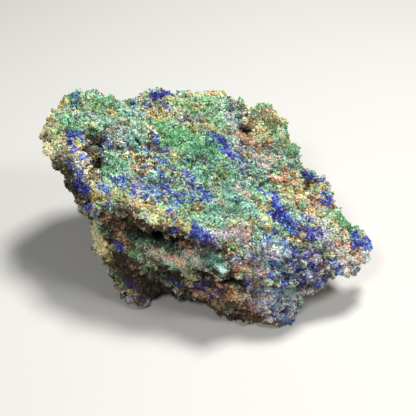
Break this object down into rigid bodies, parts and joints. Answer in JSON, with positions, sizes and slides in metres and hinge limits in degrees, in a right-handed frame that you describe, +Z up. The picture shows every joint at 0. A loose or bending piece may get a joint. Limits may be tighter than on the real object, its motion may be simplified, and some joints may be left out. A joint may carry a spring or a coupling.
{
  "type": "azurite specimen",
  "caption": "Rough hand specimen of azurite and malachite crust on iron-stained rock, lying on its broken underside.",
  "frame": {"origin": "under the middle of the bounding box, on the surface that the specimen lies on", "axes": "+X along the specimen's length, towards its low narrow end; +Y towards its back; +Z up"},
  "size_m": [0.0968, 0.0642, 0.0487],
  "materials": {
    "mineral_crust": "dull granular crust of mint to mid green malachite, deep ultramarine azurite, ochre limonite, and pinkish beige and pale grey grains, with red-brown recesses"
  },
  "bodies": {
    "root": {"azurite_rock": "mineral_crust"}
  },
  "joints": []
}
